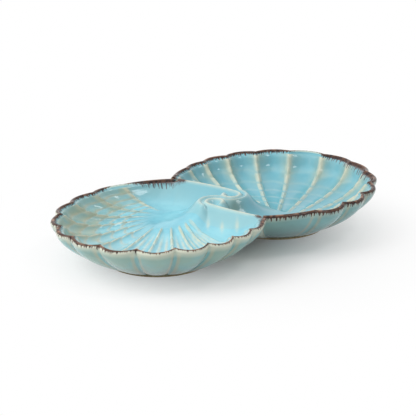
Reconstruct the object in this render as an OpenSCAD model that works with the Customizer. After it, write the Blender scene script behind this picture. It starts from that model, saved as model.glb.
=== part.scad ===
// Shell platter: a two-bowl stoneware dish of two scallop shells joined along a scrolled wall.
// Millimetres. +Z is up, +X runs from the front shell to the rear shell, and the origin is
// at table level midway between the two shells. The front shell is the rear one turned half round,
// apart from where its ridges meet and how near to it the scrolls lie.

/* [Shells] */
// Distance from the middle of the dish to the middle of a shell
shell_offset = 56; // [50:1:64]
// Mean radius of the rim, measured at the inward ends of the ridges
shell_radius = 80.3; // [72:0.1:92]
// How much longer than wide a shell is, as a share of its radius
shell_oval = 0.075; // [0:0.005:0.12]
// Turn of the oval from the dish's long axis, in degrees
oval_turn = 7; // [0:1:15]
// Height of the rim above the table
rim_height = 37; // [30:1:44]
// Depth of the bowl below the rim
bowl_depth = 20; // [15:0.5:24]
// Distance over which the inner wall falls most of the way
wall_run = 13; // [10:0.5:18]

/* [Lobes] */
// Number of lobes around a shell, before its smooth stretch
lobe_count = 12; // [9:1:15]
// Reach of the lobes beside the scroll
lobe_least = 2.8; // [1:0.1:4]
// Further reach of the lobes at the far side
lobe_swell = 3.2; // [1:0.1:5]
// Unevenness in the lobes' reach
lobe_sway = 1.6; // [0:0.1:2]
// How far the inside and the rim dip at the middle of a lobe
lobe_dip = 1; // [0:0.1:1.5]
// Angle at which the lobes begin, beside the wing tip
lobes_from = 123.7; // [120:0.1:127]
// Angle at which the lobes end, before the smooth stretch
lobes_to = -106; // [-112:1:-100]
// Angle at which the smooth stretch meets the scrolled wall
smooth_to = -139.8; // [-144:0.1:-136]

/* [Ridges] */
// Distance of the umbo, where the ridges meet, from the dish's middle along the length
umbo_x = 20; // [18:1:30]
// Distance of the rear umbo from the dish's middle across the width
umbo_y = 44; // [26:1:50]
// How much nearer to the dish's middle the front umbo is
umbo_rise = 10; // [0:1:16]
// Height of the cord along a ridge
cord_height = 1; // [0:0.1:1.5]
// Half width of a cord beside the rim
cord_half = 1.55; // [1:0.05:2.5]
// Further hollow of the flutes between the cords
flute_hollow = 0.5; // [0:0.1:1]

/* [Rim band] */
// Width of the lip
lip_width = 3; // [2.4:0.1:5]
// Depth of the iron-glazed band below the top of the rim
band_depth = 2; // [1.4:0.1:3]

/* [Scroll] */
// Middle of one scroll along the length
scroll_x = 10; // [9:0.5:13]
// Middle of one scroll across the width
scroll_y = 2.5; // [2:0.5:6]
// Shift of both scrolls along the length
scroll_shift_x = 3; // [0:0.5:4]
// Shift of both scrolls across the width
scroll_shift_y = -2.8; // [-4:0.1:0]
// Radius at which a scroll begins
scroll_radius = 8.2; // [7:0.1:12]
// Radius at which a scroll ends
scroll_end = 5.4; // [4:0.1:7]
// Turn of a scroll, in degrees
scroll_turn = 250; // [180:5:270]
// Width of the shoulder outside a scroll
shoulder_width = 5; // [4:0.1:6]
// Turn of the shoulder, which ends beside the other scroll, in degrees
shoulder_turn = 170; // [150:5:190]
// Straight run of the crest before its scroll
crest_run = 20; // [14:1:26]
// Width of the crest's rounded top
crest_width = 4; // [3:0.1:6]
// Half the width of the block that carries the scrolls
block_half = 22; // [20:0.5:25]

/* [Feet] */
// Distance of a foot ring from the middle of the dish
foot_offset = 63.5; // [62:0.5:76]
// Radius of a foot ring
foot_radius = 40; // [36:0.5:45]
// Width of a foot ring
foot_width = 5; // [3:0.5:8]
// Height of a foot ring
foot_height = 1.2; // [0.8:0.1:4]
// Height of the hollow inside a foot ring
foot_hollow = 9; // [6:0.5:10]

/* [Hidden] */

// Grid of the shells
steps_per_lobe = 8;
smooth_steps = 7;
tip_steps = 3;
inside_steps = 13;
outside_steps = 7;
block_steps = 36;
across_steps = 26;
crest_steps = 8;
scroll_steps = 16;
shoulder_steps = 8;

// How far the grid crowds towards the ridges
lobe_crowding = 0.5;

// Lobe numbers of the wing tip and of the smooth stretch's end
tip_from = -0.6;
tip_start = -0.42;
smooth_end = lobe_count + 1.6;
smooth_stop = smooth_end - 0.15;

// Unevenness in the spacing of the ridges, in degrees
spread_wide = 8.2;
spread_fine = 2;
// Roundness of a lobe in plan
lobe_round = 0.8;
// Shares of a ridge's length where the flutes and the cords start, and over which they rise
flute_from = 0.25;
flute_run = 0.35;
cord_from = 0.2;
cord_run = 0.22;
// The same on the wing's side, where both start abruptly, and the last lobes of that side
gouge_from = 0.25;
gouge_run = 0.05;
wing_lobes = 6.5;
wing_fade = 1.5;
// Shares of a cord: its height on the first ridge, its width at the umbo and the length where it ends
first_cord = 0.55;
cord_taper = 0.6;
cord_stop = 0.06;
// Bow of the ridges beside the wing tip, lobes where they straighten, and how late the block's lines bow
tip_bow = 1.5;
bowed_lobes = 5;
block_bow = 3;
// Roundness of the outer wall, and how late its lobes fade towards the foot
belly = 1.6;
lobe_hold = 4;
// Softness of the valley between the wall and the scrolls
valley = 3;
// Drop of the band's shoulders below its crown, and slope of its outer side
crown_in = 0.5;
crown_out = 0.9;
band_flare = 0.4;
// Thickness of the block at its ends, its lift above the feet, its arch underneath and how square that is
end_web = 10;
block_lift = 2.8;
block_arch = 8;
under_power = 2.2;
// Slope of the hollow inside a foot ring
hollow_slope = 4;
// Facets of the foot rings
foot_facets = 120;

shell_mid = [shell_offset, 0];
rear_umbo = [umbo_x, -umbo_y];
front_umbo = [umbo_x, umbo_rise - umbo_y];
foot_mid = [foot_offset, 0];
// Inward run of the wall over the band's depth
band_run = -wall_run * ln(1 - band_depth / bowl_depth);

function mix(a, b, k) = a + (b - a) * k;
function within(k) = max(0, min(1, k));
function heading(a) = [cos(a), sin(a)];
function unit(v) = v / norm(v);
function ease(k) = let (w = within(k)) w * w * (3 - 2 * w);
function hump(d, width) = exp(-pow(d / width, 2));

// Angle of the rim at lobe number u
function lobe_angle(u) =
    mix(lobes_from, lobes_to, u / lobe_count)
    + spread_wide * sin(180 * u / lobe_count) + spread_fine * sin(540 * u / lobe_count);
function smooth_angle(u) = mix(lobes_to, smooth_to, (u - lobe_count) / (smooth_end - lobe_count));
function tip_angle(u) = mix(lobes_from, corner_angle, u / tip_from);
function rim_angle(u) = u < 0 ? tip_angle(u) : u > lobe_count ? smooth_angle(u) : lobe_angle(u);

// Distance of the rim from the shell's middle
function oval(a) = shell_radius * (1 + shell_oval * cos(2 * (a - oval_turn)));
function lobe_shape(u) = u < 0 || u > lobe_count ? 0 : pow(abs(sin(180 * u)), lobe_round);
function lobe_reach(u) =
    lobe_least + lobe_swell * sin(180 * u / lobe_count) + lobe_sway * sin(540 * u / lobe_count - 60);
function rim_reach(u) =
    u < 0 ? mix(oval(lobes_from), corner_reach, u / tip_from)
          : oval(rim_angle(u)) + lobe_reach(u) * lobe_shape(u);
function rim(u, off = 0) = shell_mid + (rim_reach(u) + off) * heading(rim_angle(u));
function rim_top(u) = rim_height - lobe_dip * lobe_shape(u);
function lobe_way(u) = lobe_reach(u) * lobe_shape(u) * heading(rim_angle(u));

// Corners of the block between the shells: the inner and outer sides of the rear shell's smooth end
function smooth_point(a, off = 0) = shell_mid + (oval(a) + off) * heading(a);
inner_corner = smooth_point(smooth_to);
outer_corner = smooth_point(smooth_angle(smooth_stop), lip_width + band_flare);
corner_reach = norm(-outer_corner - shell_mid);
corner_angle = atan2(-outer_corner[1], -outer_corner[0] - shell_offset);

// Crests of the two walls, each from a rim into its scroll, with the shoulders outside the scrolls
scroll_mid = [scroll_x, scroll_y];
scroll_shift = [scroll_shift_x, scroll_shift_y];
crest_from = -(inner_corner + outer_corner) / 2;
function bend(a, b, c, k) = mix(mix(a, b, k), mix(b, c, k), k);
function crest(mid) =
    let (turn = mid + [scroll_radius, crest_run], to = mid + [scroll_radius, 0])
    concat(
        [for (i = [0 : crest_steps - 1]) bend(crest_from, turn, to, i / crest_steps)],
        [for (i = [0 : scroll_steps])
            let (k = i / scroll_steps)
            mid + mix(scroll_radius, scroll_end, k) * heading(-scroll_turn * k)]);
function shoulder(mid) = [for (i = [0 : shoulder_steps])
    mid + (scroll_radius + shoulder_width) * heading(-shoulder_turn * i / shoulder_steps)];
rear_scroll = scroll_mid + scroll_shift;
front_scroll = scroll_mid - scroll_shift;
crests = [crest(rear_scroll), shoulder(rear_scroll), -crest(front_scroll), -shoulder(front_scroll)];

function to_segment(p, a, b) =
    let (ab = b - a)
    norm(p - a - ab * within((p - a) * ab / (ab * ab)));
function to_line(p, line) = min([for (i = [0 : len(line) - 2]) to_segment(p, line[i], line[i + 1])]);
function from_crest(p) =
    let (d = min([for (line = crests) to_line(p, line)]))
    pow(d, 3) / (d * d + crest_width * crest_width);

// Distance of a point from the shell's rim before its lobes
function from_oval(p) =
    let (v = p - shell_mid)
    oval(atan2(v[1], v[0])) - norm(v);

// Height of the inside at a distance from the nearest edge; turn is -1 for a point of the front shell
function fall(d) = bowl_depth * (1 - exp(-max(0, d) / wall_run));
function soft_least(a, b) = -valley * ln(exp(-a / valley) + exp(-b / valley));
function inside_height(p, turn, from_rim) =
    rim_height - fall(soft_least(from_rim, from_crest(turn * p)));
function from_corners(p) =
    min(norm(p - inner_corner), norm(p + inner_corner), norm(p - outer_corner), norm(p + outer_corner));
function block_height(p, turn) = inside_height(p, turn, from_corners(p));

// Line of one ridge in plan, bowed towards the shell's middle, from the umbo to an edge; and its direction
function ridge(edge, bow, t, umbo) =
    t * edge + t * (1 - t) * mix(umbo, shell_mid, bow) + (1 - t) * (1 - t) * umbo;
function ridge_way(edge, bow, t, umbo) =
    edge + (1 - 2 * t) * mix(umbo, shell_mid, bow) - 2 * (1 - t) * umbo;
function rim_bow(u) = tip_bow * within(1 - u / bowed_lobes);
function side_bow(s) = tip_bow * pow(s, block_bow);

// Flute between two ridges and cord along one, from the smooth umbo to the rim
function wing_side(u) = ease((wing_lobes - u) / wing_fade);
function gouge(t) = ease((t - gouge_from) / gouge_run);
function flute_rise(u, t) = mix(within((t - flute_from) / flute_run), gouge(t), wing_side(u));
function cord_rise(u, t) =
    within((1 - t) / cord_stop) * mix(ease((t - cord_from) / cord_run), gouge(t), wing_side(u));
function flute(u, t) = (lobe_dip + flute_hollow * cord_rise(u, t)) * lobe_shape(u) * flute_rise(u, t);
function cord(u, t, p, umbo) =
    let (number = round(max(0, min(lobe_count, u))), edge = rim(number, -band_run))
    let (bow = rim_bow(number), away = p - ridge(edge, bow, t, umbo), way = ridge_way(edge, bow, t, umbo))
    cord_height * within(first_cord * number) * cord_rise(u, t)
    * hump(cross(away, way) / norm(way), cord_half * mix(cord_taper, 1, t));

// Sides of the block, one the other turned half round
function block_side(s) =
    mix(inner_corner, -outer_corner, s) + [block_half * sin(180 * s), 0];
function block_under(s, k) =
    let (end = abs(2 * s - 1))
    mix(foot_height + block_lift, rim_height - end_web, pow(end, under_power))
    + block_arch * (1 - end * end) * 4 * k * (1 - k);

function lift(p, z) = [p[0], p[1], z];

// Outer wall, foot and hollow below an edge point, with the part of the edge's reach that is its lobe
function outer_points(edge, lobe, z) =
    let (way = unit(edge - foot_mid), foot = foot_mid + foot_radius * way)
    concat(
        [for (i = [1 : outside_steps])
            let (k = i / outside_steps, wall = mix(edge - lobe, foot, pow(k, belly)))
            lift(wall + lobe * (1 - pow(k, lobe_hold)), mix(z, foot_height, k))],
        [lift(foot - foot_width * way, foot_height),
         lift(foot - (foot_width + hollow_slope) * way, foot_hollow)]);

// Lip points shared by the shell and its rim band
function lip_inner(u) = lift(rim(u, -band_run), rim_top(u) - band_depth);
function lip_outer(u) = lift(rim(u, lip_width + band_flare), rim_top(u) - band_depth);

// One column of a shell, from beside the umbo over the lip to the hollow under the foot
function rim_column(u, umbo, turn) =
    let (stop = rim(u, -band_run), lobe = rim_reach(u) - oval(rim_angle(u)))
    concat(
        [for (i = [1 : inside_steps - 1])
            let (t = i / inside_steps, p = ridge(stop, rim_bow(u), t, umbo))
            let (z = inside_height(p, turn, from_oval(p) + lobe * t))
            lift(p, z - flute(u, t) + cord(u, t, p, umbo))],
        [lip_inner(u), lip_outer(u)],
        outer_points(rim(u, lip_width + band_flare), lobe_way(u), rim_top(u) - band_depth));
function block_column(s, umbo, turn) =
    let (edge = block_side(s))
    concat(
        [for (i = [1 : inside_steps])
            let (p = ridge(edge, side_bow(s), i / inside_steps, umbo))
            lift(p, block_height(p, turn))],
        [lift(edge, block_under(s, 0))],
        outer_points(edge, [0, 0], block_under(s, 0)));

function crowded(u) = u - lobe_crowding * sin(360 * u) / (2 * PI);
lobe_steps = lobe_count * steps_per_lobe;
rim_numbers = concat(
    [for (i = [0 : tip_steps - 1]) mix(tip_start, 0, i / tip_steps)],
    [for (i = [0 : lobe_steps]) crowded(i / steps_per_lobe)],
    [for (i = [1 : smooth_steps]) mix(lobe_count, smooth_stop, i / smooth_steps)]);

// Faces between two neighbouring columns of points
function strip(a, b, i) = [[a + i, b + i + 1, b + i], [a + i, a + i + 1, b + i + 1]];

// One shell bowl, with its outer wall
module shell(umbo, turn) {
    columns = concat(
        [for (u = rim_numbers) rim_column(u, umbo, turn)],
        [for (i = [0 : block_steps]) block_column(i / block_steps, umbo, turn)]);
    count = len(columns);
    rows = len(columns[0]);
    points = concat(
        [for (column = columns) each column],
        [lift(umbo, block_height(umbo, turn)), lift(foot_mid, foot_hollow)]);
    top = count * rows;
    faces = [for (j = [0 : count - 1])
        let (a = j * rows, b = ((j + 1) % count) * rows)
        each concat(
            [[top, a, b], [top + 1, b + rows - 1, a + rows - 1]],
            [for (i = [0 : rows - 2]) each strip(a, b, i)])];
    polyhedron(points, faces, convexity = 10);
}

// The iron-glazed band along a shell's lip
module rim_band() {
    columns = [for (u = rim_numbers) [
        lip_inner(u),
        lift(rim(u), rim_top(u) - crown_in),
        lift(rim(u, lip_width / 2), rim_top(u)),
        lift(rim(u, lip_width), rim_top(u) - crown_out),
        lip_outer(u)]];
    count = len(columns);
    rows = len(columns[0]);
    points = [for (column = columns) each column];
    faces = concat(
        [for (j = [0 : count - 2])
            let (a = j * rows, b = a + rows)
            each concat(
                [[a + rows - 1, b, b + rows - 1], [a + rows - 1, a, b]],
                [for (i = [0 : rows - 2]) each strip(a, b, i)])],
        [[for (i = [0 : rows - 1]) rows - 1 - i]],
        [[for (i = [0 : rows - 1]) (count - 1) * rows + i]]);
    polyhedron(points, faces, convexity = 10);
}

// The block between the shells, with the two scrolled crests on top
module divider() {
    rows = across_steps + 1;
    function across(j, i) =
        mix(-block_side(1 - j / block_steps), block_side(j / block_steps), i / across_steps);
    tops = [for (j = [0 : block_steps]) for (i = [0 : across_steps])
        let (p = across(j, i)) lift(p, block_height(p, 1))];
    unders = [for (j = [0 : block_steps]) for (i = [0 : across_steps])
        lift(across(j, i), block_under(j / block_steps, i / across_steps))];
    base = len(tops);
    last = block_steps * rows;
    faces = concat(
        [for (j = [0 : block_steps - 1]) for (i = [0 : across_steps - 1])
            let (a = j * rows, b = a + rows)
            each concat([for (f = strip(a, b, i)) [f[2], f[1], f[0]]], strip(base + a, base + b, i))],
        [for (j = [0 : block_steps - 1])
            let (a = j * rows, b = a + rows, c = a + across_steps, d = b + across_steps)
            each [[a, base + a, base + b], [a, base + b, b], [c, d, base + d], [c, base + d, base + c]]],
        [for (i = [0 : across_steps - 1]) each [
            [i, i + 1, base + i + 1], [i, base + i + 1, base + i],
            [last + i, base + last + i, base + last + i + 1],
            [last + i, base + last + i + 1, last + i + 1]]]);
    polyhedron(concat(tops, unders), faces, convexity = 10);
}

// An unglazed ring under a shell, standing on the table
module foot_ring() {
    translate([foot_offset, 0, 0])
        difference() {
            cylinder(h = foot_height, r = foot_radius, $fn = foot_facets);
            translate([0, 0, -foot_height])
                cylinder(h = 3 * foot_height, r = foot_radius - foot_width, $fn = foot_facets);
        }
}

module turned() {
    rotate([0, 0, 180]) children();
}

module front_shell() {
    color("#8cc4cf") turned() shell(front_umbo, -1);
}

module rear_shell() {
    color("#8cc4cf") shell(rear_umbo, 1);
}

module scroll_divider() {
    color("#9fced6") divider();
}

module front_rim_band() {
    color("#5b4648") turned() rim_band();
}

module rear_rim_band() {
    color("#5b4648") rim_band();
}

module front_foot_ring() {
    color("#c9b08a") turned() foot_ring();
}

module rear_foot_ring() {
    color("#c9b08a") foot_ring();
}

front_shell();
rear_shell();
scroll_divider();
front_rim_band();
rear_rim_band();
front_foot_ring();
rear_foot_ring();
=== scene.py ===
"""Looks of the shell platter: two scallop bowls under an aqua glaze, with an iron-brown rim."""
import math
from collections import namedtuple

import bpy
import numpy as np
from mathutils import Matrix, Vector


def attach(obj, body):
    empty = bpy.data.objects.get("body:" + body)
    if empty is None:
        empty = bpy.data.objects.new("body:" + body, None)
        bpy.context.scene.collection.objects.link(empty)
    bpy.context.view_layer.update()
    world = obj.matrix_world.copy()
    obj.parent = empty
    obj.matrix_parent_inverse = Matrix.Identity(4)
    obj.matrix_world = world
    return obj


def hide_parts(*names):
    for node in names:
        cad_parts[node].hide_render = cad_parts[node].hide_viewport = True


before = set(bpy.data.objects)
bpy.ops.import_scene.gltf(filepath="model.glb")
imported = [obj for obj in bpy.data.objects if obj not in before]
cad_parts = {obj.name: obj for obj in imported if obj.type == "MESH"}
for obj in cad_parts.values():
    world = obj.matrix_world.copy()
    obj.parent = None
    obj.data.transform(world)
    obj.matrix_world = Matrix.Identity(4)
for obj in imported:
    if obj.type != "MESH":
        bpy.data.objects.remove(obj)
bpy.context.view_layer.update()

# Lengths below are in millimetres and angles in degrees, in the frame of the part.
METRE = 1000.0

# Shells, as in the part's source
SHELL_MID = np.array([56.0, 0.0])
SHELL_RADIUS = 80.3
SHELL_OVAL = 0.075
OVAL_TURN = 7.0
RIM_HEIGHT = 37.0
BOWL_DEPTH = 20.0
WALL_RUN = 13.0

# The two shells: each one's umbo, where its ridges meet, and its turn; the front one is turned half round
Shell = namedtuple("Shell", "name umbo turn")
REAR = Shell("rear", np.array([20.0, -44.0]), 1)
FRONT = Shell("front", np.array([20.0, -34.0]), -1)

# Lobes around a shell, counted from the wing tip to the smooth stretch
LOBE_COUNT = 12
LOBE_LEAST = 2.6
LOBE_SWELL = 3.2
LOBE_SWAY = 1.6
SWAY_TURN = -60.0
LOBE_DIP = 1.0
LOBE_ROUND = 0.8
LOBES_FROM = 123.7
LOBES_TO = -106.0
SMOOTH_TO = -139.8
SPREAD_WIDE = 8.2
SPREAD_FINE = 2.0
TIP_FROM = -0.6
TIP_START = -0.42
SMOOTH_END = LOBE_COUNT + 1.6
SMOOTH_STOP = SMOOTH_END - 0.15

# Lip and rim band
LIP_WIDTH = 3.0
BAND_DEPTH = 2.0
BAND_FLARE = 0.4
CROWN_IN = 0.5
CROWN_OUT = 0.9
BAND_RUN = -WALL_RUN * math.log(1 - BAND_DEPTH / BOWL_DEPTH)

# Scrolled wall between the shells
SCROLL_MID = np.array([10.0, 2.5])
SCROLL_SHIFT = np.array([3.0, -2.8])
SCROLL_RADIUS = 8.2
SCROLL_END = 5.4
SCROLL_TURN = 250.0
SHOULDER_WIDTH = 5.0
SHOULDER_TURN = 170.0
CREST_RUN = 20.0
CREST_WIDTH = 4.0
VALLEY = 3.0
BLOCK_HALF = 22.0
BLOCK_LIFT = 2.8
BLOCK_ARCH = 8.0
END_WEB = 10.0
UNDER_POWER = 2.2

# Feet
FOOT_MID = np.array([63.5, 0.0])
FOOT_RADIUS = 40.0
FOOT_WIDTH = 5.0
FOOT_HEIGHT = 1.2
FOOT_HOLLOW = 9.0
HOLLOW_SLOPE = 4.0
BELLY = 1.6
LOBE_HOLD = 4.0

# Bow of the ridges beside the wing tip and along the block
TIP_BOW = 1.5
BOWED_LOBES = 5.0
BLOCK_BOW = 3.0

# Ridges inside a shell: rounded cords that break into beads at the growth lines
CORD_HEIGHT = 1.0
CORD_HALF = 1.55
CORD_TAPER = 0.6
CORD_STOP = 0.06
FIRST_CORD = 0.55
FLUTE_HOLLOW = 0.5
FLUTE_FROM, FLUTE_RUN = 0.25, 0.35
CORD_FROM, CORD_RUN = 0.2, 0.22
GOUGE_FROM, GOUGE_RUN = 0.25, 0.05
SLOW_FROM, SLOW_RUN = 0.35, 0.5
SLOW_LOBES = 2.0
WING_LOBES, WING_FADE = 6.5, 1.5
GROWTH_LINES = (0.42, 0.54, 0.66, 0.78, 0.90)
GROWTH_STEP = 0.45
GROWTH_SCALLOP = 0.03
GROWTH_WIDTH = 0.015
BEAD_NECK = 0.75
REAR_GROWTH = 0.2
LOBE_ENDS = 0.3

# Growth lines: distance from a crest and, in the front shell, lobe number at which they start
WALL_FROM, WALL_FADE = 12.0, 10.0
GROWTH_FROM, GROWTH_FADE = 5.5, 1.5

# Fine lines along the crests and along the shoulders of the scrolls
LINE_DEPTH = 0.9
LINE_WIDTH = 1.25
LINE_FADE = 5.0
SHOULDER_SHARE = 0.6

# Reach of the iron glaze from the crown of the rim, inwards and outwards, at lobe numbers along each rim
IRON_IN = {
    "rear": ((-0.6, 3.6), (1.0, 4.4), (4.7, 5.2), (5.2, 0.7), (5.8, 0.9), (6.1, 6.0), (7.5, 9.0),
             (8.5, 7.5), (9.3, 3.2), (10.0, 2.2), (13.4, 2.0)),
    "front": ((-0.6, 5.5), (0.2, 3.6), (1.2, 1.4), (5.3, 1.4), (5.6, 3.0), (8.5, 4.4), (9.0, 4.0),
              (11.4, 4.2), (11.7, 0.8), (12.0, 0.6), (12.3, 2.5), (12.6, 6.0), (13.4, 9.0)),
}
IRON_OUT = {
    "rear": ((-0.6, 2.0), (7.8, 2.0), (8.6, 3.4), (9.3, 4.2), (13.4, 5.0)),
    "front": ((-0.6, 3.4), (0.5, 2.6), (1.0, 1.9), (4.94, 1.7), (5.0, 5.5), (5.06, 1.7), (5.3, 2.0),
              (5.6, 3.4), (5.94, 2.6), (6.0, 5.5), (6.06, 2.6), (6.5, 3.2), (6.94, 3.2), (7.0, 6.0),
              (7.06, 3.2), (8.3, 3.4), (9.0, 2.4), (13.4, 2.4)),
}

# Shares of that reach between the drips and in them
IRON_LEAST, IRON_MOST = 0.6, 1.2

# Least distance from a crown that the glaze goes by on the crests
CREST_FROM = 2.3

# Iron that runs on from a rim along a crest: the crest's number, the reach and the run
IRON_TAILS = ((0, 8.0, 16.0), (1, 5.0, 10.0))

# Cream flecks on the front shell's wing, and the hollow under the scrolls, darkened with painted shade
# where shadow falls
FLECKS = ((-27.3, -18.7), (-25.1, -32.5), (-19.3, -43.3))
FLECK_TURN = 47.7
FLECK_LONG, FLECK_WIDE = 4.5, 1.3
FLECK_SHARE = 0.85
SHADED_HOLLOW = (3.5, -16.5)
SHADED_HOLLOW_WIDE = 8.0

# Finer lines between the ridges on the front shell's near side
FINE_LINES = 3
FINE_START = 0.6
FINE_TO, FINE_FADE = 6.5, 0.5
FINE_HEIGHT = 0.5
FINE_HALF = 1.45
FINE_SHARE = 0.8
FINE_FROM, FINE_RUN = 0.3, 0.2

# Closeness to a ridge at which its cream starts: on the front shell's floor and wall, and in the rear shell
CREAM_FROM_FLOOR, CREAM_FROM_WALL = 0.25, 0.45
CREAM_FADE = 0.35
REAR_CREAM_FROM, REAR_CREAM_FADE = 0.02, 0.25

# Cream that widens at the top of the rear shell's ridges
FLARE_WIDE, FLARE_FADE = 0.55, 0.4
FLARE_FROM, FLARE_RUN = 0.86, 0.1
FLARE_SHARE = 0.75

# Sage in the cells of the front shell's wall and beside the notches of the rear one
CELL_FROM, CELL_RUN = 0.5, 0.25
CELL_LEAST = 0.45
NOTCH_FROM, NOTCH_RUN = 0.6, 0.35

# Share of the front shell's warmer and paler tones that the rear shell has
REAR_SHARE = 0.3

# Grid of the meshes
STEPS_PER_LOBE = 24
SMOOTH_STEPS = 30
TIP_STEPS = 6
BLOCK_STEPS = 96
INSIDE_STEPS = 100
LIP_STEPS = 12
OUTSIDE_STEPS = 36
ACROSS_STEPS = 96
CREST_STEPS = 24
SCROLL_STEPS = 48


def sind(a):
    return np.sin(np.radians(a))


def cosd(a):
    return np.cos(np.radians(a))


def mix(a, b, k):
    return a + (b - a) * k


def within(k):
    return np.clip(k, 0, 1)


def ease(k):
    k = within(k)
    return k * k * (3 - 2 * k)


def hump(d, width):
    return np.exp(-(d / width) ** 2)


def heading(a):
    return np.stack([cosd(a), sind(a)], -1)


def length(v):
    return np.linalg.norm(v, axis=-1)


def cross(a, b):
    return a[..., 0] * b[..., 1] - a[..., 1] * b[..., 0]


def lift(p, z):
    return np.concatenate([p, np.broadcast_to(z, p.shape[:-1])[..., None]], -1)


# Rim of the rear shell, by lobe number
def oval(a):
    return SHELL_RADIUS * (1 + SHELL_OVAL * cosd(2 * (a - OVAL_TURN)))


def smooth_angle(u):
    return mix(LOBES_TO, SMOOTH_TO, (u - LOBE_COUNT) / (SMOOTH_END - LOBE_COUNT))


def smooth_point(a, off=0.0):
    return SHELL_MID + (oval(a) + off) * heading(a)


INNER_CORNER = smooth_point(SMOOTH_TO)
OUTER_CORNER = smooth_point(smooth_angle(SMOOTH_STOP), LIP_WIDTH + BAND_FLARE)
TIP_CORNER = -OUTER_CORNER - SHELL_MID
CORNER_REACH = length(TIP_CORNER)
CORNER_ANGLE = math.degrees(math.atan2(TIP_CORNER[1], TIP_CORNER[0]))


def rim_angle(u):
    lobes = (mix(LOBES_FROM, LOBES_TO, u / LOBE_COUNT)
             + SPREAD_WIDE * sind(180 * u / LOBE_COUNT)
             + SPREAD_FINE * sind(540 * u / LOBE_COUNT))
    tip = mix(LOBES_FROM, CORNER_ANGLE, u / TIP_FROM)
    return np.where(u < 0, tip, np.where(u > LOBE_COUNT, smooth_angle(u), lobes))


def lobe_shape(u):
    on_lobes = (u >= 0) & (u <= LOBE_COUNT)
    return np.where(on_lobes, np.abs(sind(180 * u)) ** LOBE_ROUND, 0)


def lobe_reach(u):
    return (LOBE_LEAST + LOBE_SWELL * sind(180 * u / LOBE_COUNT)
            + LOBE_SWAY * sind(540 * u / LOBE_COUNT + SWAY_TURN))


def rim_reach(u):
    tip = mix(oval(LOBES_FROM), CORNER_REACH, u / TIP_FROM)
    return np.where(u < 0, tip, oval(rim_angle(u)) + lobe_reach(u) * lobe_shape(u))


def rim(u, off=0.0):
    return SHELL_MID + (rim_reach(u) + off)[..., None] * heading(rim_angle(u))


def rim_top(u):
    return RIM_HEIGHT - LOBE_DIP * lobe_shape(u)


def lobe_way(u):
    return (lobe_reach(u) * lobe_shape(u))[..., None] * heading(rim_angle(u))


# Crests of the two walls, each running from a rim into its scroll
def make_crest(mid):
    start = -(INNER_CORNER + OUTER_CORNER) / 2
    turn = mid + [SCROLL_RADIUS, CREST_RUN]
    end = mid + [SCROLL_RADIUS, 0]
    k = np.linspace(0, 1, CREST_STEPS, endpoint=False)[:, None]
    run = mix(mix(start, turn, k), mix(turn, end, k), k)
    k = np.linspace(0, 1, SCROLL_STEPS + 1)
    curl = mid + mix(SCROLL_RADIUS, SCROLL_END, k)[:, None] * heading(-SCROLL_TURN * k)
    return np.concatenate([run, curl])


def make_shoulder(mid):
    k = np.linspace(0, 1, SCROLL_STEPS + 1)
    return mid + (SCROLL_RADIUS + SHOULDER_WIDTH) * heading(-SHOULDER_TURN * k)


SCROLLS = ((1, SCROLL_MID + SCROLL_SHIFT), (-1, SCROLL_MID - SCROLL_SHIFT))
CRESTS = [turn * make_crest(mid) for turn, mid in SCROLLS]
SHOULDERS = [turn * make_shoulder(mid) for turn, mid in SCROLLS]


def to_lines(p, lines):
    """Distance of a point from the nearest of some lines."""
    nearest = np.full(p.shape[:-1], np.inf)
    for line in lines:
        for a, b in zip(line[:-1], line[1:]):
            ab = b - a
            k = within((p - a) @ ab / (ab @ ab))
            nearest = np.minimum(nearest, length(p - a - k[..., None] * ab))
    return nearest


def to_crest(p):
    """Distance of a point from the nearest crest or shoulder, with closeness to its fine line."""
    crest = to_lines(p, CRESTS)
    shoulder = to_lines(p, SHOULDERS)
    line = np.maximum(hump(crest, LINE_WIDTH), SHOULDER_SHARE * hump(shoulder, LINE_WIDTH))
    return np.minimum(crest, shoulder), line


def mark_tones(masks, p):
    """Marks by place on the whole dish: the front shell's tones and the flecks on its wing."""
    masks["front"] = mix(REAR_SHARE, 1, ease(0.5 - p[..., 0] / (2 * BLOCK_HALF)))
    way = heading(FLECK_TURN)
    for fleck in FLECKS:
        off = p - fleck
        mark = FLECK_SHARE * hump(off @ way, FLECK_LONG) * hump(cross(off, way), FLECK_WIDE)
        masks["ridge"] = np.maximum(masks["ridge"], mark)


def mark_block(masks, p, crest_line):
    """Marks on the top of the block: its fine lines, iron at the starts of the crests and painted shade in
    the hollow.
    """
    rows = tuple(slice(n) for n in p.shape[:-1])
    masks["crest"][rows] = crest_line
    masks["across"][rows] = np.maximum(CREST_FROM, to_lines(p, CRESTS))
    masks["along"][rows] = p @ (CRESTS[0][1] - CRESTS[0][0])
    # Painted shade: closeness to the hollow under the scrolls, where the glaze is darkened as if in shadow
    masks["hollow"][rows] = hump(length(p - SHADED_HOLLOW), SHADED_HOLLOW_WIDE)
    for crest, reach, run in IRON_TAILS:
        tail = reach * ease(1 - length(p - CRESTS[crest][0]) / run)
        masks["iron_in"][rows] = np.maximum(masks["iron_in"][rows], tail)


def fall(d):
    return BOWL_DEPTH * (1 - np.exp(-np.maximum(0, d) / WALL_RUN))


def inside_height(from_rim, d):
    from_crest = d ** 3 / (d * d + CREST_WIDTH ** 2)
    nearest = -VALLEY * np.logaddexp(-from_rim / VALLEY, -from_crest / VALLEY)
    line = LINE_DEPTH * (1 - hump(d, LINE_WIDTH)) * hump(d, LINE_FADE)
    return RIM_HEIGHT - fall(nearest) - line


def from_oval(p):
    """Distance of a point from the shell's rim before its lobes."""
    v = p - SHELL_MID
    return oval(np.degrees(np.arctan2(v[..., 1], v[..., 0]))) - length(v)


def from_corners(p):
    corners = (INNER_CORNER, -INNER_CORNER, OUTER_CORNER, -OUTER_CORNER)
    return np.min([length(p - c) for c in corners], axis=0)


# Inside of a shell along its ridge lines, which run from the umbo to the rim
def ridge(edge, bow, t, umbo):
    return t * edge + t * (1 - t) * mix(umbo, SHELL_MID, bow) + (1 - t) ** 2 * umbo


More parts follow.
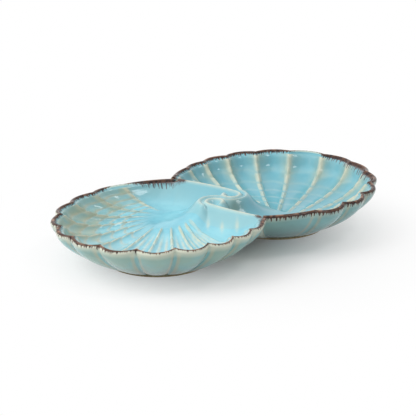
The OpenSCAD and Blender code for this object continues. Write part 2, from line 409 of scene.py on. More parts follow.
def ridge_way(edge, bow, t, umbo):
    return edge + (1 - 2 * t) * mix(umbo, SHELL_MID, bow) - 2 * (1 - t) * umbo


def rim_bow(u):
    return (TIP_BOW * within(1 - u / BOWED_LOBES))[..., None]


def across_ridge(u, t, p, umbo, lines=1):
    """Distance of a point from the nearest of a lobe's ridge lines."""
    number = np.round(np.clip(u, 0, LOBE_COUNT) * lines) / lines
    nearest = rim(number, -BAND_RUN)
    away = p - ridge(nearest, rim_bow(number), t, umbo)
    way = ridge_way(nearest, rim_bow(number), t, umbo)
    return np.abs(cross(away, way)) / length(way)


def wing_side(u):
    """Share of the lobes beside the wing, whose flutes and cords start abruptly."""
    return ease((WING_LOBES - u) / WING_FADE)


def gouge(t):
    return ease((t - GOUGE_FROM) / GOUGE_RUN)


def flute_rise(u, t):
    rise = mix(within((t - FLUTE_FROM) / FLUTE_RUN), gouge(t), wing_side(u))
    return mix(rise, ease((t - SLOW_FROM) / SLOW_RUN), ease(SLOW_LOBES - u))


def cord_rise(u, t):
    return mix(ease((t - CORD_FROM) / CORD_RUN), gouge(t), wing_side(u))


def growth_place(u, t):
    """Place between growth lines, 0 just outside a line and 1 at the next, and closeness to a line."""
    shifted = t - GROWTH_SCALLOP * (lobe_shape(u) - 0.5)
    lines = GROWTH_LINES + (2 * GROWTH_LINES[-1] - GROWTH_LINES[-2],)
    place = np.ones(np.broadcast_shapes(np.shape(u), np.shape(t)))
    near = np.zeros_like(place)
    for a, b in zip(lines[:-1], lines[1:]):
        share = (shifted - a) / (b - a)
        place = np.where((share >= 0) & (share < 1), share, place)
        near = np.maximum(near, hump(shifted - a, GROWTH_WIDTH))
    return place, near


def inside_of_shell(shell, u, t):
    """Points of the inside under a rim, with what the glaze needs to know there."""
    p = ridge(rim(u, -BAND_RUN), rim_bow(u), t, shell.umbo)
    lobe = lobe_shape(u)
    k = t[..., 0]
    from_rim = from_oval(p) + (rim_reach(u) - oval(rim_angle(u))) * k
    d, crest_line = to_crest(shell.turn * p)
    on_lobes = ease((u + LOBE_ENDS) / LOBE_ENDS) * ease((LOBE_COUNT + LOBE_ENDS - u) / LOBE_ENDS)
    before_rim = within((1 - k) / CORD_STOP)
    place, near = growth_place(u, k)
    beads = 1 - BEAD_NECK * near

    strength = within(FIRST_CORD * np.round(np.maximum(0, u))) * cord_rise(u, k) * on_lobes
    taper = mix(CORD_TAPER, 1, k)
    cord = hump(across_ridge(u, t, p, shell.umbo), CORD_HALF * taper)
    hollow = (LOBE_DIP + FLUTE_HOLLOW * cord_rise(u, k) * before_rim) * lobe * flute_rise(u, k)
    on_wall = on_lobes * ease((d - WALL_FROM) / WALL_FADE)
    raised = CORD_HEIGHT * cord * strength
    if shell is FRONT:
        growth = on_wall * ease((u - GROWTH_FROM) / GROWTH_FADE)
        thread = hump(across_ridge(u, t, p, shell.umbo, FINE_LINES), FINE_HALF * taper)
        near_side = ease((FINE_TO - u) / FINE_FADE) * ease(u - FINE_START)
        fine = thread * near_side * ease((k - FINE_FROM) / FINE_RUN)
        raised = np.maximum(raised, FINE_HEIGHT * fine)
        edge = mix(CREAM_FROM_FLOOR, CREAM_FROM_WALL, growth)
        line = np.maximum(ease((cord - edge) / CREAM_FADE) * strength, FINE_SHARE * fine)
        cell = growth * ease((k - CELL_FROM) / CELL_RUN) * mix(1, CELL_LEAST, place)
    else:
        growth = REAR_GROWTH * on_wall
        cream = ease((cord - REAR_CREAM_FROM) / REAR_CREAM_FADE) * strength * beads
        flare = ease((FLARE_WIDE - lobe) / FLARE_FADE) * ease((k - FLARE_FROM) / FLARE_RUN) * on_lobes
        line = np.maximum(cream, FLARE_SHARE * flare)
        cell = (1 - lobe) * on_lobes * ease((k - NOTCH_FROM) / NOTCH_RUN)

    z = inside_height(from_rim, d) - hollow + raised * before_rim * beads
    z = z + GROWTH_STEP * (1 - place) * growth * before_rim
    z = mix(z, rim_top(u) - BAND_DEPTH, ease((k - 1 + CORD_STOP) / CORD_STOP))
    return lift(p, z), {"ridge": line, "growth": near * growth, "cell": cell, "crest": crest_line}


# Lip, outer wall, foot and hollow
def lip_section():
    """Offsets from the rim and drops from its top, from the band's inner edge to its outer one."""
    marks = np.array([
        [-BAND_RUN, BAND_DEPTH],
        [0, CROWN_IN],
        [LIP_WIDTH / 2, 0],
        [LIP_WIDTH, CROWN_OUT],
        [LIP_WIDTH + BAND_FLARE, BAND_DEPTH],
    ])
    padded = np.concatenate([[2 * marks[0] - marks[1]], marks, [2 * marks[-1] - marks[-2]]])
    steps = LIP_STEPS // (len(marks) - 1)
    section = []
    for a, b, c, e in zip(padded, padded[1:], padded[2:], padded[3:]):
        for k in np.arange(steps) / steps:
            section.append((2 * b + (c - a) * k + (2 * a - 5 * b + 4 * c - e) * k ** 2
                            + (3 * b - 3 * c + e - a) * k ** 3) / 2)
    section.append(marks[-1])
    return np.maximum(np.array(section), [-BAND_RUN, 0])


def outer_wall(edge, lobe, z):
    """Points below an edge, down to the foot and into the hollow; the lobe's reach fades late."""
    way = edge - FOOT_MID
    way = way / length(way)[..., None]
    foot = FOOT_MID + FOOT_RADIUS * way
    k = np.arange(1, OUTSIDE_STEPS + 1) / OUTSIDE_STEPS
    k = k[None, :, None]
    wall = mix((edge - lobe)[:, None], foot[:, None], k ** BELLY) + lobe[:, None] * (1 - k ** LOBE_HOLD)
    rows = lift(wall, mix(z[:, None], FOOT_HEIGHT, k[..., 0]))
    inner = lift(foot - FOOT_WIDTH * way, FOOT_HEIGHT)
    hollow = lift(foot - (FOOT_WIDTH + HOLLOW_SLOPE) * way, FOOT_HOLLOW)
    return np.concatenate([rows, inner[:, None], hollow[:, None]], 1)


def block_side(s):
    return mix(INNER_CORNER, -OUTER_CORNER, s[..., None]) + np.stack(
        [BLOCK_HALF * sind(180 * s), 0 * s], -1)


def block_under(s, k):
    end = np.abs(2 * s - 1)
    under = mix(FOOT_HEIGHT + BLOCK_LIFT, RIM_HEIGHT - END_WEB, end ** UNDER_POWER)
    return under + BLOCK_ARCH * (1 - end * end) * 4 * k * (1 - k)


def block_top(p, turn=1):
    d, crest_line = to_crest(turn * p)
    return lift(p, inside_height(from_corners(p), d)), crest_line


def rim_numbers():
    tip = np.linspace(TIP_START, 0, TIP_STEPS, endpoint=False)
    lobes = np.arange(LOBE_COUNT * STEPS_PER_LOBE) / STEPS_PER_LOBE
    smooth = np.linspace(LOBE_COUNT, SMOOTH_STOP, SMOOTH_STEPS + 1)
    return np.concatenate([tip, lobes, smooth])


def grid_faces(columns, rows, closed=False):
    """Quads between neighbouring columns of points, as indices."""
    a = np.arange(columns if closed else columns - 1)[:, None] * rows + np.arange(rows - 1)
    b = (a + rows) % (columns * rows)
    return np.stack([b, b + 1, a + 1, a], -1)


class Piece:
    """Points, faces and masks of one piece, gathered before its mesh is made."""

    def __init__(self, node, slot):
        self.node = node
        self.slot = slot
        self.points = None
        self.masks = {}
        self.faces = []
        self.skin = []

    def add_faces(self, faces, skin):
        faces = [tuple(f) for f in np.asarray(faces).reshape(-1, np.shape(faces)[-1]).tolist()]
        self.faces += faces
        self.skin += [skin] * len(faces)


MASKS = ("along", "across", "ridge", "growth", "cell", "crest",
         "hollow", "outside", "groove", "front", "iron_in", "iron_out")
FAR = 60.0
GROOVE_ENDS = 0.2
TINY = 1e-12


def blank_masks(shape):
    masks = {name: np.zeros(shape) for name in MASKS}
    masks["across"] += FAR
    return masks


def shell_and_band(shell):
    """A shell and its rim band in the rear one's place, as grids of points with their masks."""
    u = rim_numbers()
    t = np.arange(1, INSIDE_STEPS) / INSIDE_STEPS
    inside, inside_masks = inside_of_shell(shell, u[:, None] + 0 * t, (t + 0 * u[:, None])[..., None])
    section = lip_section()
    lip = np.stack([lift(rim(u, off), rim_top(u) - drop) for off, drop in section], 1)
    outer = outer_wall(rim(u, LIP_WIDTH + BAND_FLARE), lobe_way(u), rim_top(u) - BAND_DEPTH)
    whole = np.concatenate([inside, lip, outer], 1)
    masks = blank_masks(whole.shape[:2])
    path = np.cumsum(length(np.diff(whole, axis=1)), 1)
    path = np.concatenate([np.zeros((len(u), 1)), path], 1)
    crown = inside.shape[1] + LIP_STEPS // 2
    masks["across"] = path[:, crown, None] - path
    crown_line = rim(u, LIP_WIDTH / 2)
    along = np.concatenate([[0], np.cumsum(length(np.diff(crown_line, axis=0)))])
    masks["along"] += along[:, None]
    for key, stations in (("iron_in", IRON_IN), ("iron_out", IRON_OUT)):
        masks[key] += np.interp(u, *zip(*stations[shell.name]))[:, None]
    for name, mask in inside_masks.items():
        masks[name][:, :inside.shape[1]] = mask
    mark_tones(masks, shell.turn * whole[..., :2])
    first_out = inside.shape[1] + LIP_STEPS
    masks["outside"][:, first_out:] = 1
    nearest = rim(np.round(np.clip(u, 0, LOBE_COUNT)), LIP_WIDTH)
    apart = length(rim(u, LIP_WIDTH) - nearest)
    shrink = length(whole[:, first_out:, :2] - FOOT_MID) / length(crown_line - FOOT_MID)[:, None]
    on_lobes = (u > -GROOVE_ENDS) & (u < LOBE_COUNT + GROOVE_ENDS)
    masks["groove"][:, first_out:] = np.where(on_lobes, apart, FAR)[:, None] * shrink
    return whole, masks, inside.shape[1], first_out


def block_columns(shell):
    s = np.arange(BLOCK_STEPS + 1) / BLOCK_STEPS
    t = np.arange(1, INSIDE_STEPS + 1) / INSIDE_STEPS
    edge = block_side(s)
    bow = (TIP_BOW * s ** BLOCK_BOW)[:, None, None]
    p = ridge(edge[:, None], bow, t[None, :, None], shell.umbo)
    top, crest = block_top(p, shell.turn)
    under = block_under(s, 0 * s)
    outer = outer_wall(edge, 0 * edge, under)
    whole = np.concatenate([top, lift(edge, under)[:, None], outer], 1)
    masks = blank_masks(whole.shape[:2])
    mark_block(masks, shell.turn * p, crest)
    mark_tones(masks, shell.turn * whole[..., :2])
    masks["outside"][:, INSIDE_STEPS:] = 1
    masks["groove"][:, INSIDE_STEPS:] = FAR
    return whole, masks


def make_shell(shell, whole, masks, inside_rows, first_out):
    """One bowl: its inside, its outer wall and the hollow under it."""
    piece = Piece(shell.name + "_shell", "aqua_glaze")
    block, block_masks = block_columns(shell)
    rows = list(range(inside_rows + 1)) + list(range(first_out, whole.shape[1]))
    points = np.concatenate([whole[:, rows], block])
    count, depth = points.shape[:2]
    poles = np.array([block_top(shell.umbo[None], shell.turn)[0][0], [*FOOT_MID, FOOT_HOLLOW]])
    piece.points = np.concatenate([points.reshape(-1, 3), poles])
    for key in MASKS:
        grid = np.concatenate([masks[key][:, rows], block_masks[key]])
        last = FAR if key == "across" else 0.0
        piece.masks[key] = np.concatenate([grid.ravel(), [last] * 2])
    quads = grid_faces(count, depth, closed=True)
    piece.add_faces(quads[:, :INSIDE_STEPS - 1], True)
    piece.add_faces(quads[:, INSIDE_STEPS - 1:INSIDE_STEPS], False)
    piece.add_faces(quads[:, INSIDE_STEPS:], True)
    ring = np.arange(count) * depth
    pole = np.full(count, count * depth)
    piece.add_faces(np.stack([np.roll(ring, -1), ring, pole], -1), True)
    low = ring + depth - 1
    piece.add_faces(np.stack([low, np.roll(low, -1), pole + 1], -1), True)
    return piece


def make_band(shell, whole, masks, inside_rows, first_out):
    """The iron-glazed band along a lip."""
    piece = Piece(shell.name + "_rim_band", "iron_glaze")
    rows = slice(inside_rows, first_out + 1)
    points = whole[:, rows]
    count, depth = points.shape[:2]
    piece.points = points.reshape(-1, 3)
    piece.masks = {key: masks[key][:, rows].ravel() for key in MASKS}
    piece.add_faces(grid_faces(count, depth), True)
    a = np.arange(count - 1) * depth
    piece.add_faces(np.stack([a + 2 * depth - 1, a + depth, a, a + depth - 1], -1), False)
    piece.add_faces([np.arange(depth)], False)
    piece.add_faces([np.arange(depth)[::-1] + (count - 1) * depth], False)
    return piece


def make_divider():
    """The block between the shells, with the two scrolled crests on top."""
    piece = Piece("scroll_divider", "aqua_glaze")
    s = np.arange(BLOCK_STEPS + 1) / BLOCK_STEPS
    k = np.arange(ACROSS_STEPS + 1) / ACROSS_STEPS
    p = mix(-block_side(1 - s)[:, None], block_side(s)[:, None], k[None, :, None])
    top, crest = block_top(p)
    under = lift(p, block_under(s[:, None], k))
    count, depth = p.shape[:2]
    piece.points = np.concatenate([top.reshape(-1, 3), under.reshape(-1, 3)])
    upper, lower = blank_masks(crest.shape), blank_masks(crest.shape)
    mark_block(upper, p, crest)
    mark_tones(upper, p)
    lower["outside"] += 1
    lower["groove"] += FAR
    piece.masks = {key: np.concatenate([upper[key].ravel(), lower[key].ravel()]) for key in MASKS}
    quads = grid_faces(count, depth)
    base = count * depth
    piece.add_faces(quads[..., ::-1], True)
    piece.add_faces(quads + base, True)
    a = np.arange(count - 1) * depth
    b = a + depth
    piece.add_faces(np.stack([b, b + base, a + base, a], -1), False)
    a, b = a + depth - 1, b + depth - 1
    piece.add_faces(np.stack([a + base, b + base, b, a], -1), False)
    i = np.arange(depth - 1)
    piece.add_faces(np.stack([i + base, i + 1 + base, i + 1, i], -1), False)
    i = i + (count - 1) * depth
    piece.add_faces(np.stack([i + 1, i + 1 + base, i + base, i], -1), False)
    return piece


def face_normals(points, faces):
    """Area-weighted normals of faces, which may have any number of corners."""
    normals = np.zeros((len(faces), 3))
    sizes = np.array([len(f) for f in faces])
    for size in np.unique(sizes):
        chosen = np.where(sizes == size)[0]
        corners = points[np.array([faces[i] for i in chosen])]
        following = np.roll(corners, -1, axis=1)
        normals[chosen] = np.cross(corners, following).sum(1) / 2
    return normals


def smooth_normals(pieces):
    """Loop normals of each piece, smooth over the glazed skin and across the joins between pieces."""
    keys = np.concatenate([np.round(p.points * METRE).astype(np.int64) for p in pieces])
    _, welded = np.unique(keys, axis=0, return_inverse=True)
    welded = welded.ravel()
    total = np.zeros((welded.max() + 1, 3))
    start = 0
    flat = []
    for piece in pieces:
        normals = face_normals(piece.points, piece.faces)
        flat.append(normals)
        ids = welded[start:start + len(piece.points)]
        for face, normal, skin in zip(piece.faces, normals, piece.skin):
            if skin:
                total[ids[list(face)]] += normal
        start += len(piece.points)
    start = 0
    result = []
    for piece, normals in zip(pieces, flat):
        ids = welded[start:start + len(piece.points)]
        loops = []
        for face, normal, skin in zip(piece.faces, normals, piece.skin):
            loops += list(total[ids[list(face)]]) if skin else [normal] * len(face)
        loops = np.array(loops)
        result.append(loops / np.maximum(length(loops), TINY)[:, None])
        start += len(piece.points)
    return result


def make_object(piece, normals, material):
    mesh = bpy.data.meshes.new(piece.node)
    mesh.from_pydata((piece.points / METRE).tolist(), [], piece.faces)
    mesh.shade_smooth()
    for key, values in piece.masks.items():
        mask = mesh.attributes.new(key, "FLOAT", "POINT")
        mask.data.foreach_set("value", values.astype(np.float32))
    mesh.normals_split_custom_set(normals.tolist())
    mesh.materials.append(material)
    obj = bpy.data.objects.new(piece.node + "_glazed", mesh)
    bpy.context.scene.collection.objects.link(obj)
    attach(obj, "root")
    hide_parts(piece.node)


# Building blocks of the materials
def add(tree, kind, inputs=(), **settings):
    """A node of one kind, with its inputs given as values or as other nodes' outputs."""
    node = tree.nodes.new("ShaderNode" + kind)
    for key, value in settings.items():
        setattr(node, key, value)
    for key, value in dict(inputs).items():
        if isinstance(value, bpy.types.NodeSocket):
            tree.links.new(value, node.inputs[key])
        else:
            node.inputs[key].default_value = value
    return node


def calc(tree, operation, *values):
    return add(tree, "Math", enumerate(values), operation=operation).outputs[0]


def scaled(tree, value, by):
    return calc(tree, "MULTIPLY", value, by)


def mix_share(tree, value, low, high):
    return add(tree, "MapRange", {"Value": value, "To Min": low, "To Max": high}).outputs[0]


def ramp(tree, value, ends, share=1.0):
    """A share that rises smoothly while a value goes from one end to the other."""
    inputs = {"Value": value, "From Min": ends[0], "From Max": ends[1], "To Max": share}
    return add(tree, "MapRange", inputs, interpolation_type="SMOOTHSTEP").outputs[0]


def blend(tree, share, a, b):
    return add(tree, "Mix", {0: share, 6: a, 7: b}, data_type="RGBA").outputs[2]


def mask(tree, name):
    return add(tree, "Attribute", attribute_name=name).outputs["Fac"]


def noise(tree, place, scale, detail):
    inputs = {"Vector": place, "Scale": scale, "Detail": detail}
    return add(tree, "TexNoise", inputs).outputs["Fac"]


def noise_along(tree, place, scale, detail):
    inputs = {"W": place, "Scale": scale, "Detail": detail}
    return add(tree, "TexNoise", inputs, noise_dimensions="1D").outputs["Fac"]


def add_bump(tree, shader, height, strength, depth):
    bump = add(tree, "Bump", {"Height": height, "Strength": strength, "Distance": depth})
    tree.links.new(bump.outputs[0], shader.inputs["Normal"])


def seen_ray(tree):
    """1 for rays by which the surroundings are seen or mirrored, 0 for those that light the dish."""
    ray = add(tree, "LightPath").outputs
    seen = calc(tree, "MAXIMUM", ray["Is Camera Ray"], ray["Is Glossy Ray"])
    return calc(tree, "MAXIMUM", seen, ray["Is Transmission Ray"])


def srgb(r, g, b):
    """A colour written in 0 to 255 as the render shows it, as linear light."""
    def linear(c):
        c = c / 255
        return c / 12.92 if c <= 0.04045 else ((c + 0.055) / 1.055) ** 2.4
    return (linear(r), linear(g), linear(b), 1.0)


# Colours of the glaze, the clay and the studio
AQUA = srgb(144, 214, 228)
AQUA_DEEP = srgb(124, 198, 216)
AQUA_REAR = srgb(100, 176, 192)
AQUA_PALE = srgb(154, 202, 207)
SAGE = srgb(146, 180, 170)
SAGE_BLUE = srgb(132, 186, 188)
TEAL = srgb(112, 168, 171)
# Painted shade that darkens the hollow under the scrolls
HOLLOW_SHADE = srgb(112, 146, 142)
POOLED_BLUE = srgb(108, 176, 184)
CELL = srgb(172, 184, 158)
CREAM = srgb(214, 220, 200)
# Cream of the lip edge, lightened into a painted highlight
CREAM_LIP_HIGHLIGHT = srgb(232, 234, 216)
TAN = srgb(194, 182, 150)
IRON_DARK = srgb(46, 33, 34)
IRON = srgb(98, 68, 54)
IRON_WORN = srgb(164, 122, 98)
IRON_WASH = srgb(112, 126, 132)
CLAY = srgb(232, 208, 164)
CLAY_DARK = srgb(190, 164, 124)
WHITE = srgb(255, 255, 255)

# Specular level, roughness and relief of the glazes and the clay, with the depth of the relief in metres
AQUA_SHINE = 0.5
IRON_SHINE = 0.2
GLAZE_ROUGH = (0.07, 0.14)
RIPPLE_STRENGTH, RIPPLE_DEPTH = 0.1, 0.002
CLAY_ROUGH = 0.85
GRAIN_STRENGTH, GRAIN_DEPTH = 0.3, 0.0004

# Noise: scales per metre, the drips' scale per millimetre along a rim, and amounts of detail
CLOUD_SCALE = 14.0
MOTTLE_SCALE = 45.0
PATCH_SCALE = 60.0
RIPPLE_SCALE = 90.0
WEAR_SCALE = 160.0
CHIP_SCALE = 230.0
STREAK_SCALE = 420.0
GRAIN_SCALE = 700.0
DRIP_SCALE = 0.7
DETAIL_LOW, DETAIL_MID, DETAIL_HIGH = 2.0, 3.0, 4.0

# Values of the noise between which one tone gives way to the next
AQUA_RANGE = (0.35, 0.7)
CLOUD_RANGE = (0.45, 0.75)
PATCH_RANGE = (0.38, 0.6)
WEAR_RANGE = (0.3, 0.62)
SAGE_RANGE = (0.3, 0.6)
DRIP_RANGE = (0.42, 0.66)
STREAK_RANGE = (0.35, 0.65)
CHIP_RANGE = (0.47, 0.66)
GRAIN_RANGE = (0.3, 0.7)

# Distances from the crown of the rim, outwards below 0, between which one tone gives way to the next
THIN_RANGE = (24.0, 5.0)
POOL_RANGE = (-42.0, -54.0)
UNDER_LIP_RANGE = (-8.5, -2.5)
# Painted highlight along the front shell's lip edge
LIP_HIGHLIGHT_RANGE = (-4.2, -1.8)
OUTER_SIDE_RANGE = (0.6, -0.6)
CROWN_RANGE = (2.8, 0.9)
IRON_EDGE_RANGE = (-0.3, 0.7)
CHIPPED_RANGE = (1.8, 0.3)
WASH_RANGE = (2.5, 6.0)

# Distances from a groove between two lobes, with the rise of the cream under the lip beside it
GROOVE_RANGE = (3.4, 0.8)
TAN_FROM_RANGE = (1.4, 3.0)
TAN_TO_RANGE = (6.0, 3.4)
ARCH_RANGE = (7.0, 1.5)
ARCH_RISE = 2.0

# Shares of one tone over another at most, or at least and at most
CLOUD_SHARE = 0.5
REAR_BLUE = 0.75
THIN_SHARE = 0.75
PATCH_SHARES = (0.4, 0.95)
GROWTH_SHARE = 0.75
WEAR_SHARES = (0.55, 0.95)
CELL_TAN = 0.6
POOL_SHARE = 0.8
GROOVE_TAN = 0.45
UNDER_LIP_SHARES = (0.2, 0.8)
CROWN_SHARE = 0.8
WASH_SHARE = 0.6


def new_material(name):
    material = bpy.data.materials.new(name)
    material.use_nodes = True
    tree = material.node_tree
    return material, tree, tree.nodes["Principled BSDF"]


def inside_colour(tree, place, mottle, across):
    """Aqua glaze, in clouds and thinner near the rim, sage in the cells of the front shell's wall, and
    painted shade in the hollow under the scrolls.
    """
    front = mask(tree, "front")
    cell = mask(tree, "cell")
    cloud = noise(tree, place, CLOUD_SCALE, DETAIL_LOW)
    colour = blend(tree, ramp(tree, mottle, AQUA_RANGE), AQUA_DEEP, AQUA)
    colour = blend(tree, ramp(tree, cloud, CLOUD_RANGE, CLOUD_SHARE), colour, AQUA_PALE)
    colour = blend(tree, ramp(tree, front, (1.0, REAR_SHARE), REAR_BLUE), colour, AQUA_REAR)
    thin = scaled(tree, ramp(tree, across, THIN_RANGE, THIN_SHARE), front)
    colour = blend(tree, thin, colour, AQUA_PALE)
    # Painted shade in the hollow under the scrolls
    colour = blend(tree, mask(tree, "hollow"), colour, HOLLOW_SHADE)
    patch = ramp(tree, noise(tree, place, PATCH_SCALE, DETAIL_LOW), PATCH_RANGE)
    colour = blend(tree, scaled(tree, cell, mix_share(tree, patch, *PATCH_SHARES)), colour, CELL)
    lines = calc(tree, "MAXIMUM", mask(tree, "ridge"), mask(tree, "crest"))
    lines = calc(tree, "MAXIMUM", lines, scaled(tree, mask(tree, "growth"), GROWTH_SHARE))
    worn = ramp(tree, noise(tree, place, WEAR_SCALE, DETAIL_MID), WEAR_RANGE)
    lines = scaled(tree, lines, mix_share(tree, worn, *WEAR_SHARES))
    tan_share = scaled(tree, scaled(tree, cell, front), CELL_TAN)
    return blend(tree, lines, colour, blend(tree, tan_share, CREAM, TAN))


def outside_colour(tree, mottle, across):
    """Sage glaze, bluer in the grooves between lobes and at the bottom, cream under the lip, and a painted
    highlight along the front shell's lip edge.
    """
    front = mask(tree, "front")
    groove = mask(tree, "groove")
    sage = blend(tree, front, TEAL, SAGE)
    colour = blend(tree, ramp(tree, mottle, SAGE_RANGE), SAGE_BLUE, sage)
    colour = blend(tree, ramp(tree, groove, GROOVE_RANGE), colour, SAGE_BLUE)
    colour = blend(tree, ramp(tree, across, POOL_RANGE, POOL_SHARE), colour, POOLED_BLUE)
    beside = scaled(tree, ramp(tree, groove, TAN_FROM_RANGE), ramp(tree, groove, TAN_TO_RANGE, GROOVE_TAN))
    colour = blend(tree, beside, colour, TAN)
    arch = calc(tree, "ADD", across, ramp(tree, groove, ARCH_RANGE, ARCH_RISE))
    under_lip = scaled(tree, ramp(tree, arch, UNDER_LIP_RANGE), mix_share(tree, front, *UNDER_LIP_SHARES))
    colour = blend(tree, under_lip, colour, CREAM)
    # Cream glaze at the front shell's lip edge, lightened into a painted highlight
    return blend(tree, scaled(tree, ramp(tree, across, LIP_HIGHLIGHT_RANGE), front), colour, CREAM_LIP_HIGHLIGHT)


def iron_over(tree, colour, place, across):
    """Iron glaze brushed along the crown of the rim, running down in drips on either side."""
    drip = ramp(tree, noise_along(tree, mask(tree, "along"), DRIP_SCALE, DETAIL_LOW), DRIP_RANGE)
    reach = mix_share(tree, drip, IRON_LEAST, IRON_MOST)
    left_in = calc(tree, "SUBTRACT", scaled(tree, mask(tree, "iron_in"), reach), across)
    left_out = calc(tree, "ADD", scaled(tree, mask(tree, "iron_out"), reach), across)
    share = scaled(tree, ramp(tree, left_in, IRON_EDGE_RANGE), ramp(tree, left_out, IRON_EDGE_RANGE))
    streak = noise(tree, place, STREAK_SCALE, DETAIL_MID)
    brown = blend(tree, ramp(tree, streak, STREAK_RANGE), IRON_DARK, IRON)
    chips = ramp(tree, noise(tree, place, CHIP_SCALE, DETAIL_HIGH), CHIP_RANGE)
    worn = scaled(tree, ramp(tree, calc(tree, "ABSOLUTE", across), CHIPPED_RANGE), chips)
    brown = blend(tree, worn, brown, IRON_WORN)
    brown = blend(tree, ramp(tree, across, WASH_RANGE, WASH_SHARE), brown, IRON_WASH)
    return blend(tree, share, colour, brown)


def glaze(name, shine):
    """The dish's glaze: aqua inside, sage outside, cream on the edges and iron brown along the rim."""
    material, tree, shader = new_material(name)
    place = add(tree, "TexCoord").outputs["Object"]
    across = mask(tree, "across")
    mottle = noise(tree, place, MOTTLE_SCALE, DETAIL_HIGH)
    inside = inside_colour(tree, place, mottle, across)
    outside = outside_colour(tree, mottle, across)
    outer_side = calc(tree, "MAXIMUM", mask(tree, "outside"), ramp(tree, across, OUTER_SIDE_RANGE))
    colour = blend(tree, outer_side, inside, outside)
    crown = ramp(tree, calc(tree, "ABSOLUTE", across), CROWN_RANGE, CROWN_SHARE)
    colour = blend(tree, crown, colour, CREAM)
    colour = iron_over(tree, colour, place, across)
    tree.links.new(colour, shader.inputs["Base Color"])
    tree.links.new(mix_share(tree, mottle, *GLAZE_ROUGH), shader.inputs["Roughness"])
    shader.inputs["Specular IOR Level"].default_value = shine
    ripple = noise(tree, place, RIPPLE_SCALE, DETAIL_LOW)
    add_bump(tree, shader, ripple, RIPPLE_STRENGTH, RIPPLE_DEPTH)
    return material


def bare_clay(name):
    """Matt unglazed stoneware, speckled."""
    material, tree, shader = new_material(name)
    place = add(tree, "TexCoord").outputs["Object"]
    grain = noise(tree, place, GRAIN_SCALE, DETAIL_HIGH)
    colour = blend(tree, ramp(tree, grain, GRAIN_RANGE), CLAY_DARK, CLAY)
    tree.links.new(colour, shader.inputs["Base Color"])
    shader.inputs["Roughness"].default_value = CLAY_ROUGH
    add_bump(tree, shader, grain, GRAIN_STRENGTH, GRAIN_DEPTH)
    return material


def make_dish():
    aqua = glaze("aqua_glaze", AQUA_SHINE)
    iron = glaze("iron_glaze", IRON_SHINE)
    pieces = []
    for shell in (REAR, FRONT):
        grids = shell_and_band(shell)
        for piece in (make_shell(shell, *grids), make_band(shell, *grids)):
            piece.points = piece.points * [shell.turn, shell.turn, 1]
            pieces.append(piece)
    pieces.append(make_divider())
    for piece, normals in zip(pieces, smooth_normals(pieces)):
        make_object(piece, normals, iron if piece.slot == "iron_glaze" else aqua)
    clay = bare_clay("bare_clay")
    for shell in (REAR, FRONT):
        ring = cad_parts[shell.name + "_foot_ring"]
        ring.data.materials.clear()
        ring.data.materials.append(clay)


# Camera at the photograph's viewing angle, with its scale in millimetres per pixel and its focus in pixels
VIEW_TURN = -42.3
VIEW_RISE = 18.9
VIEW_SCALE = 0.79
VIEW_FOCUS = 2600.0
PHOTO_SIDE = 416.0
MIDDLE_ON_PHOTO = (217.6, 196.8)
SENSOR = 36.0

# Studio, in metres: near and far ends of the view, and the floor, with the distance at which it is white
CLIP_NEAR, CLIP_FAR = 0.01, 100.0
FLOOR_HALF = 6.0
FLOOR_GREY = (0.93, 0.93, 0.93, 1.0)
FLOOR_ROUGH = 0.9
WHITE_FROM = 0.208

# Light of the white surroundings on the dish, and the lamps: those mirrored in the glaze say True
SKY = 0.36
Lamp = namedtuple("Lamp", "name place size watts mirrored")
LAMPS = (
    Lamp("key", (-0.34, 0.44, 1.5), (1.8, 1.8), 9.0, True),
    Lamp("side", (-0.90, 0.62, 0.95), (1.0, 1.0), 11.0, False),
    Lamp("window", (0.48, -0.62, 1.39), (0.46, 0.38), 3.0, True),
)


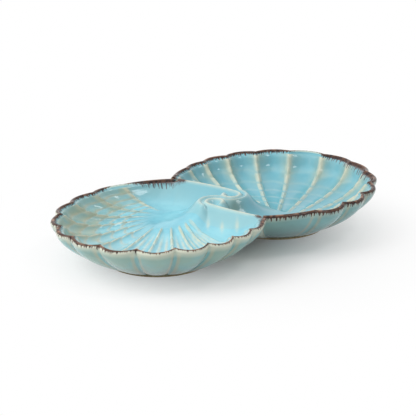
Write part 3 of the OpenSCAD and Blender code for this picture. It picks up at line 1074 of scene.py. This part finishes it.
def make_camera():
    back = Vector((sind(VIEW_TURN) * cosd(VIEW_RISE), -cosd(VIEW_TURN) * cosd(VIEW_RISE), sind(VIEW_RISE)))
    right = Vector((cosd(VIEW_TURN), sind(VIEW_TURN), 0))
    up = back.cross(right)
    off_right = (MIDDLE_ON_PHOTO[0] - PHOTO_SIDE / 2) * VIEW_SCALE
    off_up = (PHOTO_SIDE / 2 - MIDDLE_ON_PHOTO[1]) * VIEW_SCALE
    target = Vector((0, 0, RIM_HEIGHT)) - right * off_right - up * off_up
    camera = bpy.data.cameras.new("camera")
    camera.sensor_width = SENSOR
    camera.lens = SENSOR * VIEW_FOCUS / PHOTO_SIDE
    camera.clip_start = CLIP_NEAR
    camera.clip_end = CLIP_FAR
    obj = bpy.data.objects.new("camera", camera)
    bpy.context.scene.collection.objects.link(obj)
    obj.location = (target + back * VIEW_FOCUS * VIEW_SCALE) / METRE
    obj.rotation_euler = (-back).to_track_quat("-Z", "Y").to_euler()
    bpy.context.scene.camera = obj


def make_floor():
    mesh = bpy.data.meshes.new("floor")
    corners = [(x * FLOOR_HALF, y * FLOOR_HALF, 0) for x, y in ((-1, -1), (1, -1), (1, 1), (-1, 1))]
    mesh.from_pydata(corners, [], [(0, 1, 2, 3)])
    floor = bpy.data.objects.new("floor", mesh)
    bpy.context.scene.collection.objects.link(floor)
    material, tree, shader = new_material("white_floor")
    shader.inputs["Base Color"].default_value = FLOOR_GREY
    shader.inputs["Roughness"].default_value = FLOOR_ROUGH
    shader.inputs["Specular IOR Level"].default_value = 0.0
    place = add(tree, "TexCoord").outputs["Object"]
    away = add(tree, "VectorMath", {0: place}, operation="LENGTH").outputs["Value"]
    share = scaled(tree, ramp(tree, away, (0.0, WHITE_FROM)), seen_ray(tree))
    white = add(tree, "Emission", {"Color": WHITE, "Strength": 1.0})
    mixed = add(tree, "MixShader", {0: share, 1: shader.outputs[0], 2: white.outputs[0]})
    tree.links.new(mixed.outputs[0], tree.nodes["Material Output"].inputs[0])
    mesh.materials.append(material)


def make_light(lamp):
    light = bpy.data.lights.new(lamp.name, "AREA")
    light.shape = "RECTANGLE"
    light.size, light.size_y = lamp.size
    light.energy = lamp.watts
    obj = bpy.data.objects.new(lamp.name, light)
    bpy.context.scene.collection.objects.link(obj)
    obj.location = lamp.place
    obj.rotation_euler = (-Vector(lamp.place)).to_track_quat("-Z", "Y").to_euler()
    obj.visible_glossy = lamp.mirrored


def make_world():
    world = bpy.data.worlds.new("studio")
    bpy.context.scene.world = world
    world.use_nodes = True
    tree = world.node_tree
    background = tree.nodes["Background"]
    background.inputs["Color"].default_value = WHITE
    tree.links.new(mix_share(tree, seen_ray(tree), SKY, 1.0), background.inputs["Strength"])


def make_studio():
    make_camera()
    make_floor()
    make_world()
    for lamp in LAMPS:
        make_light(lamp)


make_studio()
make_dish()
bpy.context.scene.view_settings.view_transform = "Standard"
